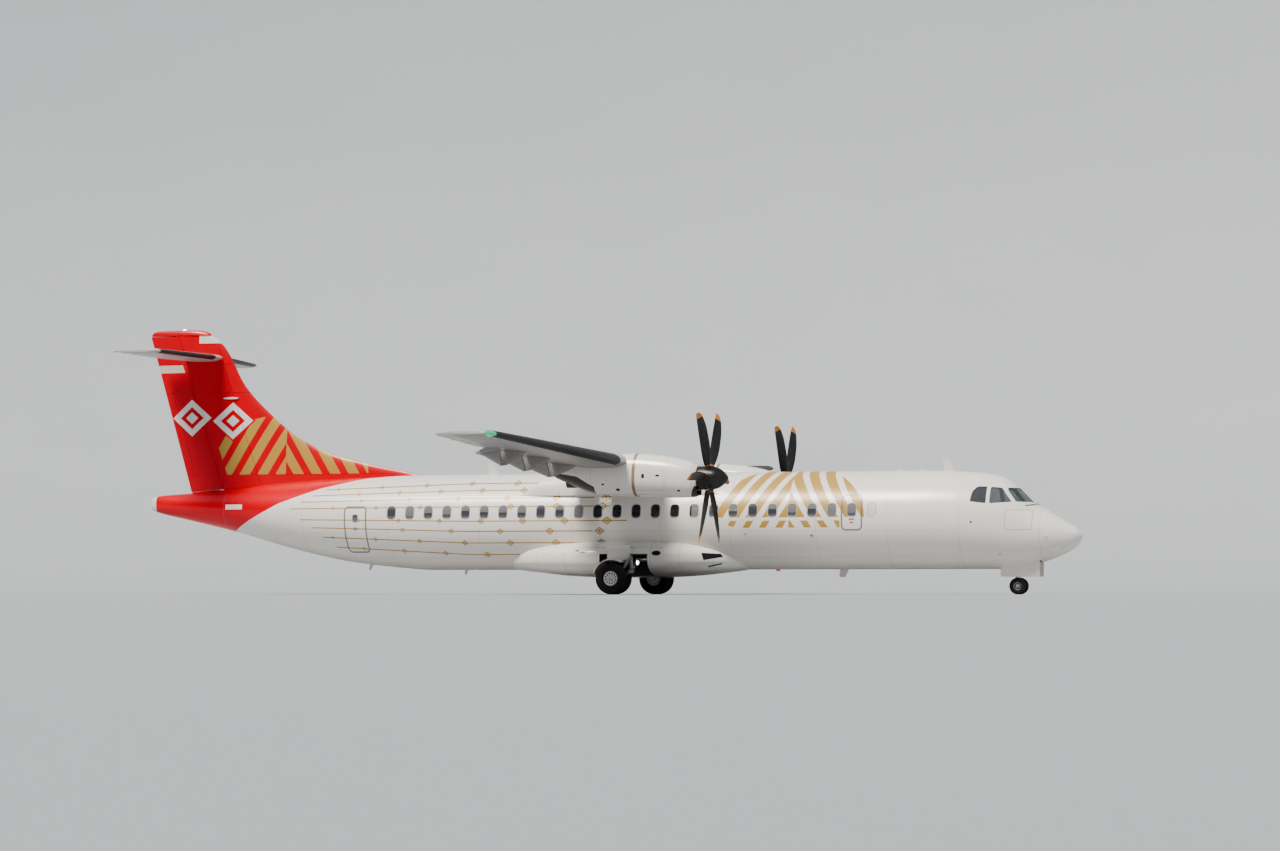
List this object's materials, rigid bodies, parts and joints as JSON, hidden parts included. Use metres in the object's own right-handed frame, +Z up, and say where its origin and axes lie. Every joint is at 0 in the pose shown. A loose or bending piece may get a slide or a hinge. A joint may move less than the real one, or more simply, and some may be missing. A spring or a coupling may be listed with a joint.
{
  "type": "turboprop airliner",
  "caption": "High-wing twin turboprop regional airliner parked on its gear, with a T-tail, turning propellers and wheels, control surfaces, flaps and two hinged doors.",
  "frame": {"origin": "on the ground half way along the aircraft, under the centre of its box", "axes": "+X forward to the nose, +Y to port, +Z up"},
  "size_m": [27.1665, 27.05, 7.65],
  "materials": {
    "white_paint": "gloss white aircraft paint",
    "white_painted_alloy": "gloss white aircraft paint on light alloy",
    "red_paint": "gloss red aircraft paint",
    "grey_paint": "satin light grey aircraft paint",
    "black_composite": "satin black paint on composite blades and spinner",
    "engine_metal": "dull heat-stained metal",
    "gear_steel": "satin forged steel",
    "flight_deck_glass": "clear laminated glass with a dark flight deck behind",
    "deck_plastic": "matte dark grey plastic",
    "wheel_alloy": "painted light alloy wheel",
    "tyre_rubber": "worn black rubber"
  },
  "bodies": {
    "airframe": {"flight_deck_shell": "white_painted_alloy", "fuselage_forward": "white_paint", "fuselage_centre": "white_paint", "fuselage_rear": "white_paint", "tail_cone": "red_paint", "service_door": "white_paint", "emergency_exit_left": "white_paint", "emergency_exit_right": "white_paint", "windscreen_left": "flight_deck_glass", "windscreen_right": "flight_deck_glass", "side_window_front_left": "flight_deck_glass", "side_window_front_right": "flight_deck_glass", "side_window_rear_left": "flight_deck_glass", "side_window_rear_right": "flight_deck_glass", "flight_deck_fittings": "deck_plastic", "fin": "red_paint", "tailplane": "grey_paint", "wing_centre": "grey_paint", "wing_outer_left": "grey_paint", "wing_outer_right": "grey_paint", "wing_root_fairing": "white_paint", "gear_fairing": "white_paint", "nacelle_left": "white_painted_alloy", "nacelle_right": "white_painted_alloy", "engine_left": "engine_metal", "engine_right": "engine_metal", "main_leg_left": "gear_steel", "main_leg_right": "gear_steel", "main_leg_door_left": "white_painted_alloy", "main_leg_door_right": "white_painted_alloy", "nose_leg": "gear_steel", "nose_door_left": "white_painted_alloy", "nose_door_right": "white_painted_alloy"},
    "passenger_door": {"passenger_door": "white_paint"},
    "cargo_door": {"cargo_door": "white_paint"},
    "propeller_left": {"propeller_left": "black_composite", "spinner_left": "black_composite"},
    "propeller_right": {"propeller_right": "black_composite", "spinner_right": "black_composite"},
    "flap_inboard_left": {"flap_inboard_left": "grey_paint"},
    "flap_outboard_left": {"flap_outboard_left": "grey_paint"},
    "aileron_left": {"aileron_left": "grey_paint"},
    "spoiler_left": {"spoiler_left": "grey_paint"},
    "elevator_left": {"elevator_left": "grey_paint"},
    "flap_inboard_right": {"flap_inboard_right": "grey_paint"},
    "flap_outboard_right": {"flap_outboard_right": "grey_paint"},
    "aileron_right": {"aileron_right": "grey_paint"},
    "spoiler_right": {"spoiler_right": "grey_paint"},
    "elevator_right": {"elevator_right": "grey_paint"},
    "rudder": {"rudder": "red_paint"},
    "nose_steering": {"nose_steering": "gear_steel"},
    "nose_wheels": {"nose_wheels_rims": "wheel_alloy", "nose_wheels_tyre_left": "tyre_rubber", "nose_wheels_tyre_right": "tyre_rubber"},
    "main_wheels_left": {"main_wheels_left_rims": "wheel_alloy", "main_wheels_left_tyre_left": "tyre_rubber", "main_wheels_left_tyre_right": "tyre_rubber"},
    "main_wheels_right": {"main_wheels_right_rims": "wheel_alloy", "main_wheels_right_tyre_left": "tyre_rubber", "main_wheels_right_tyre_right": "tyre_rubber"}
  },
  "joints": [
    {"name": "passenger_door_hinge", "type": "hinge", "parent": "airframe", "child": "passenger_door", "pos_m": [-6.425, 0.97301, 1.2], "axis": [-0.9874, -0.1584, 0], "range_deg": [0, 118]},
    {"name": "cargo_door_hinge", "type": "hinge", "parent": "airframe", "child": "cargo_door", "pos_m": [10.3025, 1.14285, 2.71], "axis": [0.9985, -0.0553, 0], "range_deg": [0, 100]},
    {"name": "propeller_left_shaft", "type": "hinge", "parent": "airframe", "child": "propeller_left", "pos_m": [4.365, 4.05, 3.075], "axis": [1, 0, 0], "continuous": true},
    {"name": "propeller_right_shaft", "type": "hinge", "parent": "airframe", "child": "propeller_right", "pos_m": [4.365, -4.05, 3.075], "axis": [1, 0, 0], "continuous": true},
    {"name": "flap_inboard_left_hinge", "type": "hinge", "parent": "airframe", "child": "flap_inboard_left", "pos_m": [0.37745, 1.6, 3.1], "axis": [0, -1, 0], "range_deg": [-15, 15]},
    {"name": "flap_outboard_left_hinge", "type": "hinge", "parent": "airframe", "child": "flap_outboard_left", "pos_m": [0.3783, 4.77, 3.10393], "axis": [-0.0095, -0.999, -0.0436], "range_deg": [-15, 15]},
    {"name": "flap_inboard_right_hinge", "type": "hinge", "parent": "airframe", "child": "flap_inboard_right", "pos_m": [0.37745, -1.6, 3.1], "axis": [0, -1, 0], "range_deg": [-15, 15]},
    {"name": "flap_outboard_right_hinge", "type": "hinge", "parent": "airframe", "child": "flap_outboard_right", "pos_m": [0.3783, -4.77, 3.10393], "axis": [0.0095, -0.999, 0.0436], "range_deg": [-15, 15]},
    {"name": "aileron_left_hinge", "type": "hinge", "parent": "airframe", "child": "aileron_left", "pos_m": [0.45653, 9.9, 3.79428], "axis": [-0.0078, -0.9991, -0.0415], "range_deg": [-14, 14]},
    {"name": "aileron_right_hinge", "type": "hinge", "parent": "airframe", "child": "aileron_right", "pos_m": [0.45653, -9.9, 3.79428], "axis": [0.0078, -0.9991, 0.0415], "range_deg": [-14, 14]},
    {"name": "spoiler_left_hinge", "type": "hinge", "parent": "airframe", "child": "spoiler_left", "pos_m": [0.69386, 7.9, 3.84357], "axis": [-0.0055, 0.9996, 0.0293], "range_deg": [0, 57]},
    {"name": "spoiler_right_hinge", "type": "hinge", "parent": "airframe", "child": "spoiler_right", "pos_m": [0.69386, -7.9, 3.84357], "axis": [0.0055, 0.9996, -0.0293], "range_deg": [0, 57]},
    {"name": "elevator_left_hinge", "type": "hinge", "parent": "airframe", "child": "elevator_left", "pos_m": [-12.62699, 0.43, 6.8], "axis": [0.0395, -0.9992, 0], "range_deg": [-23, 13]},
    {"name": "elevator_right_hinge", "type": "hinge", "parent": "airframe", "child": "elevator_right", "pos_m": [-12.62699, -0.43, 6.8], "axis": [-0.0395, -0.9992, 0], "range_deg": [-23, 13]},
    {"name": "rudder_hinge", "type": "hinge", "parent": "airframe", "child": "rudder", "pos_m": [-11.2507, 0, 2.9], "axis": [-0.3245, 0, 0.9459], "range_deg": [-27, 27]},
    {"name": "nose_steering_pivot", "type": "hinge", "parent": "airframe", "child": "nose_steering", "pos_m": [11.865, 0, 0.66], "axis": [0, 0, 1], "range_deg": [-60, 60]},
    {"name": "nose_wheels_axle", "type": "hinge", "parent": "nose_steering", "child": "nose_wheels", "pos_m": [11.865, 0, 0.225], "axis": [0, 1, 0], "continuous": true},
    {"name": "main_wheels_left_axle", "type": "hinge", "parent": "airframe", "child": "main_wheels_left", "pos_m": [1.095, 2.05, 0.432], "axis": [0, 1, 0], "continuous": true},
    {"name": "main_wheels_right_axle", "type": "hinge", "parent": "airframe", "child": "main_wheels_right", "pos_m": [1.095, -2.05, 0.432], "axis": [0, 1, 0], "continuous": true}
  ],
  "couplings": [
    {"joint": "flap_inboard_right_hinge", "follows": "flap_outboard_left_hinge", "ratio": 1},
    {"joint": "flap_inboard_left_hinge", "follows": "flap_outboard_left_hinge", "ratio": 1},
    {"joint": "flap_outboard_right_hinge", "follows": "flap_outboard_left_hinge", "ratio": 1},
    {"joint": "aileron_right_hinge", "follows": "aileron_left_hinge", "ratio": -1},
    {"joint": "elevator_right_hinge", "follows": "elevator_left_hinge", "ratio": 1}
  ]
}
